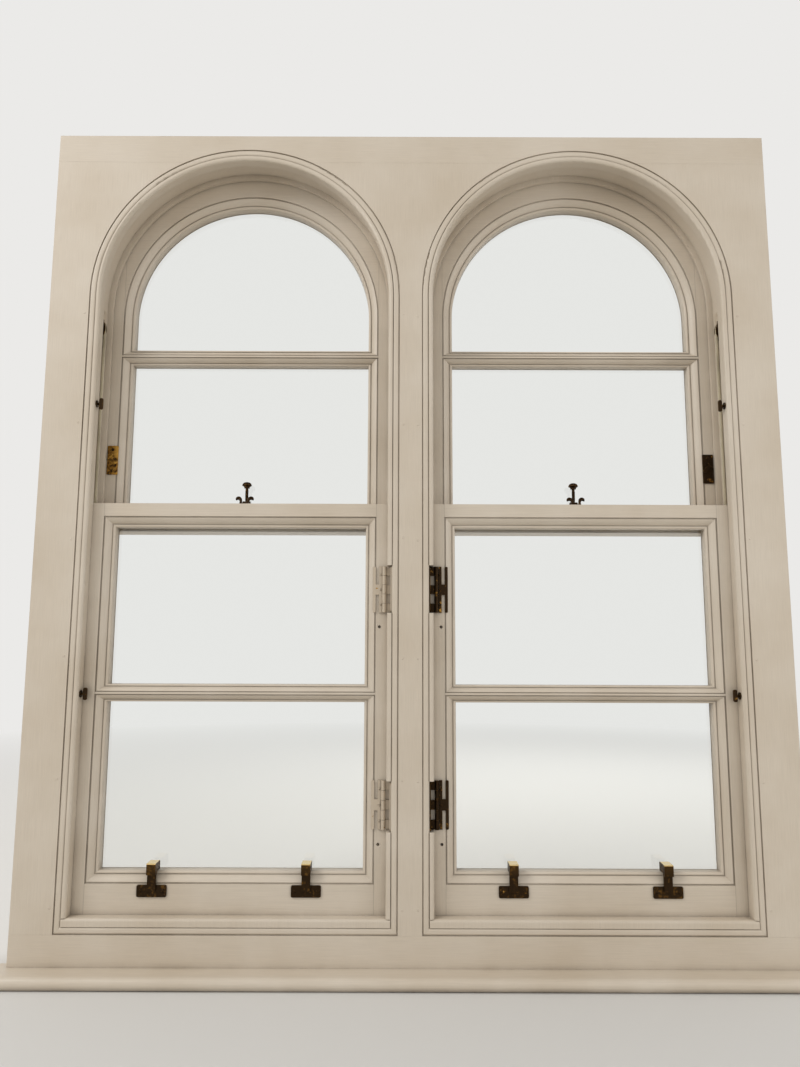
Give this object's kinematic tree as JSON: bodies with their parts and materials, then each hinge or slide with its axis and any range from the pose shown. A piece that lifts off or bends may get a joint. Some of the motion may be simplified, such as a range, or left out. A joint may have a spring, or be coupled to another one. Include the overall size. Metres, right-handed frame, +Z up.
{
  "type": "sash window",
  "caption": "Arched box sash window pair in one frame with central box mullion, sliding double-hung sashes on cords and weights, brass lifts, screw fasteners and swing hinges.",
  "frame": {"origin": "on the underside of the window board at the middle of the mullion, in the plane of the room face of the linings", "axes": "+Z up, +Y outward from the room, +X to the right as seen from the room"},
  "size_m": [1.536, 0.24, 1.693],
  "materials": {
    "paint": "old satin oil paint, warm stone cream, on softwood",
    "bare_wood": "unpainted aged softwood inside the boxes",
    "glass": "clear old drawn glass",
    "putty": "painted linseed putty",
    "brass": "aged brass with worn lacquer",
    "iron": "rough cast iron",
    "cord": "waxed braided cotton"
  },
  "bodies": {
    "frame": {"sill": "paint", "window_board": "paint", "lining_left": "paint", "lining_right": "paint", "lining_mullion": "paint", "lining_head": "paint", "lining_sill": "paint", "pulley_stiles": "paint", "pocket_pieces": "paint", "arched_soffits": "paint", "outer_linings": "paint", "carcase_boards": "bare_wood", "parting_slips": "bare_wood", "parting_beads": "paint", "staff_beads": "paint", "removable_beads": "paint", "bead_turns": "brass", "pulley_cases": "brass", "hinge_leaves": "brass", "sash_cords": "cord"},
    "hinge_flaps_left": {"hinge_flaps_left": "brass"},
    "lower_sash_left": {"lower_sash_left": "paint", "lower_panes_left": "glass", "lower_putty_left": "putty", "lifts_left": "brass", "keep_left": "brass"},
    "upper_sash_left": {"upper_sash_left": "paint", "upper_panes_left": "glass", "upper_putty_left": "putty", "fastener_base_left": "brass", "stop_plate_left": "brass"},
    "fastener_arm_left": {"fastener_arm_left": "brass"},
    "fastener_knob_left": {"fastener_knob_left": "brass"},
    "stop_tongue_left": {"stop_tongue_left": "brass"},
    "lower_weights_left": {"lower_weights_left": "iron"},
    "lower_wheel_left_outer": {"lower_wheel_left_outer": "brass"},
    "lower_wheel_left_inner": {"lower_wheel_left_inner": "brass"},
    "upper_weights_left": {"upper_weights_left": "iron"},
    "upper_wheel_left_outer": {"upper_wheel_left_outer": "brass"},
    "upper_wheel_left_inner": {"upper_wheel_left_inner": "brass"},
    "hinge_flaps_right": {"hinge_flaps_right": "brass"},
    "lower_sash_right": {"lower_sash_right": "paint", "lower_panes_right": "glass", "lower_putty_right": "putty", "lifts_right": "brass", "keep_right": "brass"},
    "upper_sash_right": {"upper_sash_right": "paint", "upper_panes_right": "glass", "upper_putty_right": "putty", "fastener_base_right": "brass", "stop_plate_right": "brass"},
    "fastener_arm_right": {"fastener_arm_right": "brass"},
    "fastener_knob_right": {"fastener_knob_right": "brass"},
    "stop_tongue_right": {"stop_tongue_right": "brass"},
    "lower_weights_right": {"lower_weights_right": "iron"},
    "lower_wheel_right_inner": {"lower_wheel_right_inner": "brass"},
    "lower_wheel_right_outer": {"lower_wheel_right_outer": "brass"},
    "upper_weights_right": {"upper_weights_right": "iron"},
    "upper_wheel_right_inner": {"upper_wheel_right_inner": "brass"},
    "upper_wheel_right_outer": {"upper_wheel_right_outer": "brass"}
  },
  "joints": [
    {"name": "hinge_flap_left", "type": "hinge", "parent": "frame", "child": "hinge_flaps_left", "pos_m": [-0.052, 0.0201, 0.5205], "axis": [0, 0, 1], "range_deg": [0, 100]},
    {"name": "lower_slide_left", "type": "slide", "parent": "frame", "child": "lower_sash_left", "axis": [0, 0, 1], "range_m": [0, 0.42], "deforming": ["sash_cords"]},
    {"name": "upper_slide_left", "type": "slide", "parent": "frame", "child": "upper_sash_left", "axis": [0, 0, -1], "range_m": [0, 0.41], "deforming": ["sash_cords"]},
    {"name": "fastener_fold_left", "type": "hinge", "parent": "upper_sash_left", "child": "fastener_arm_left", "pos_m": [-0.345, 0.0865, 0.9125], "axis": [-1, 0, 0], "range_deg": [-90, 10]},
    {"name": "knob_travel_left", "type": "slide", "parent": "fastener_arm_left", "child": "fastener_knob_left", "axis": [0, 0, 1], "range_m": [-0.004, 0]},
    {"name": "stop_fold_left", "type": "hinge", "parent": "upper_sash_left", "child": "stop_tongue_left", "pos_m": [-0.6329, 0.0744, 1.01], "axis": [0.7071, 0, 0.7071], "range_deg": [-90, 0]},
    {"name": "lower_weights_run_left", "type": "slide", "parent": "frame", "child": "lower_weights_left", "axis": [0, 0, -1], "range_m": [0, 0.42]},
    {"name": "lower_wheel_turn_left_outer", "type": "hinge", "parent": "frame", "child": "lower_wheel_left_outer", "pos_m": [-0.673, 0.0468, 1.28], "axis": [0, -1, 0], "range_deg": [0, 1004]},
    {"name": "lower_wheel_turn_left_inner", "type": "hinge", "parent": "frame", "child": "lower_wheel_left_inner", "pos_m": [-0.02525, 0.0468, 1.28], "axis": [0, 1, 0], "range_deg": [0, 1529]},
    {"name": "upper_weights_run_left", "type": "slide", "parent": "frame", "child": "upper_weights_left", "axis": [0, 0, 1], "range_m": [0, 0.41]},
    {"name": "upper_wheel_turn_left_outer", "type": "hinge", "parent": "frame", "child": "upper_wheel_left_outer", "pos_m": [-0.673, 0.1004, 1.28], "axis": [0, 1, 0], "range_deg": [0, 980]},
    {"name": "upper_wheel_turn_left_inner", "type": "hinge", "parent": "frame", "child": "upper_wheel_left_inner", "pos_m": [-0.02525, 0.1004, 1.28], "axis": [0, -1, 0], "range_deg": [0, 1493]},
    {"name": "hinge_flap_right", "type": "hinge", "parent": "frame", "child": "hinge_flaps_right", "pos_m": [0.052, 0.0201, 0.5205], "axis": [0, 0, -1], "range_deg": [0, 100]},
    {"name": "lower_slide_right", "type": "slide", "parent": "frame", "child": "lower_sash_right", "axis": [0, 0, 1], "range_m": [0, 0.42], "deforming": ["sash_cords"]},
    {"name": "upper_slide_right", "type": "slide", "parent": "frame", "child": "upper_sash_right", "axis": [0, 0, -1], "range_m": [0, 0.41], "deforming": ["sash_cords"]},
    {"name": "fastener_fold_right", "type": "hinge", "parent": "upper_sash_right", "child": "fastener_arm_right", "pos_m": [0.345, 0.0865, 0.9125], "axis": [-1, 0, 0], "range_deg": [-90, 10]},
    {"name": "knob_travel_right", "type": "slide", "parent": "fastener_arm_right", "child": "fastener_knob_right", "axis": [0, 0, 1], "range_m": [-0.004, 0]},
    {"name": "stop_fold_right", "type": "hinge", "parent": "upper_sash_right", "child": "stop_tongue_right", "pos_m": [0.6329, 0.0744, 0.995], "axis": [0.7071, 0, -0.7071], "range_deg": [-90, 0]},
    {"name": "lower_weights_run_right", "type": "slide", "parent": "frame", "child": "lower_weights_right", "axis": [0, 0, -1], "range_m": [0, 0.42]},
    {"name": "lower_wheel_turn_right_inner", "type": "hinge", "parent": "frame", "child": "lower_wheel_right_inner", "pos_m": [0.02525, 0.0468, 1.28], "axis": [0, -1, 0], "range_deg": [0, 1529]},
    {"name": "lower_wheel_turn_right_outer", "type": "hinge", "parent": "frame", "child": "lower_wheel_right_outer", "pos_m": [0.673, 0.0468, 1.28], "axis": [0, 1, 0], "range_deg": [0, 1004]},
    {"name": "upper_weights_run_right", "type": "slide", "parent": "frame", "child": "upper_weights_right", "axis": [0, 0, 1], "range_m": [0, 0.41]},
    {"name": "upper_wheel_turn_right_inner", "type": "hinge", "parent": "frame", "child": "upper_wheel_right_inner", "pos_m": [0.02525, 0.1004, 1.28], "axis": [0, 1, 0], "range_deg": [0, 1493]},
    {"name": "upper_wheel_turn_right_outer", "type": "hinge", "parent": "frame", "child": "upper_wheel_right_outer", "pos_m": [0.673, 0.1004, 1.28], "axis": [0, -1, 0], "range_deg": [0, 980]}
  ],
  "couplings": [
    {"joint": "lower_weights_run_left", "follows": "lower_slide_left", "ratio": 1},
    {"joint": "lower_wheel_turn_left_outer", "follows": "lower_slide_left", "rad_per_m": 41.667},
    {"joint": "lower_wheel_turn_left_inner", "follows": "lower_slide_left", "rad_per_m": 63.492},
    {"joint": "upper_weights_run_left", "follows": "upper_slide_left", "ratio": 1},
    {"joint": "upper_wheel_turn_left_outer", "follows": "upper_slide_left", "rad_per_m": 41.667},
    {"joint": "upper_wheel_turn_left_inner", "follows": "upper_slide_left", "rad_per_m": 63.492},
    {"joint": "lower_weights_run_right", "follows": "lower_slide_right", "ratio": 1},
    {"joint": "lower_wheel_turn_right_inner", "follows": "lower_slide_right", "rad_per_m": 63.492},
    {"joint": "lower_wheel_turn_right_outer", "follows": "lower_slide_right", "rad_per_m": 41.667},
    {"joint": "upper_weights_run_right", "follows": "upper_slide_right", "ratio": 1},
    {"joint": "upper_wheel_turn_right_inner", "follows": "upper_slide_right", "rad_per_m": 63.492},
    {"joint": "upper_wheel_turn_right_outer", "follows": "upper_slide_right", "rad_per_m": 41.667}
  ]
}
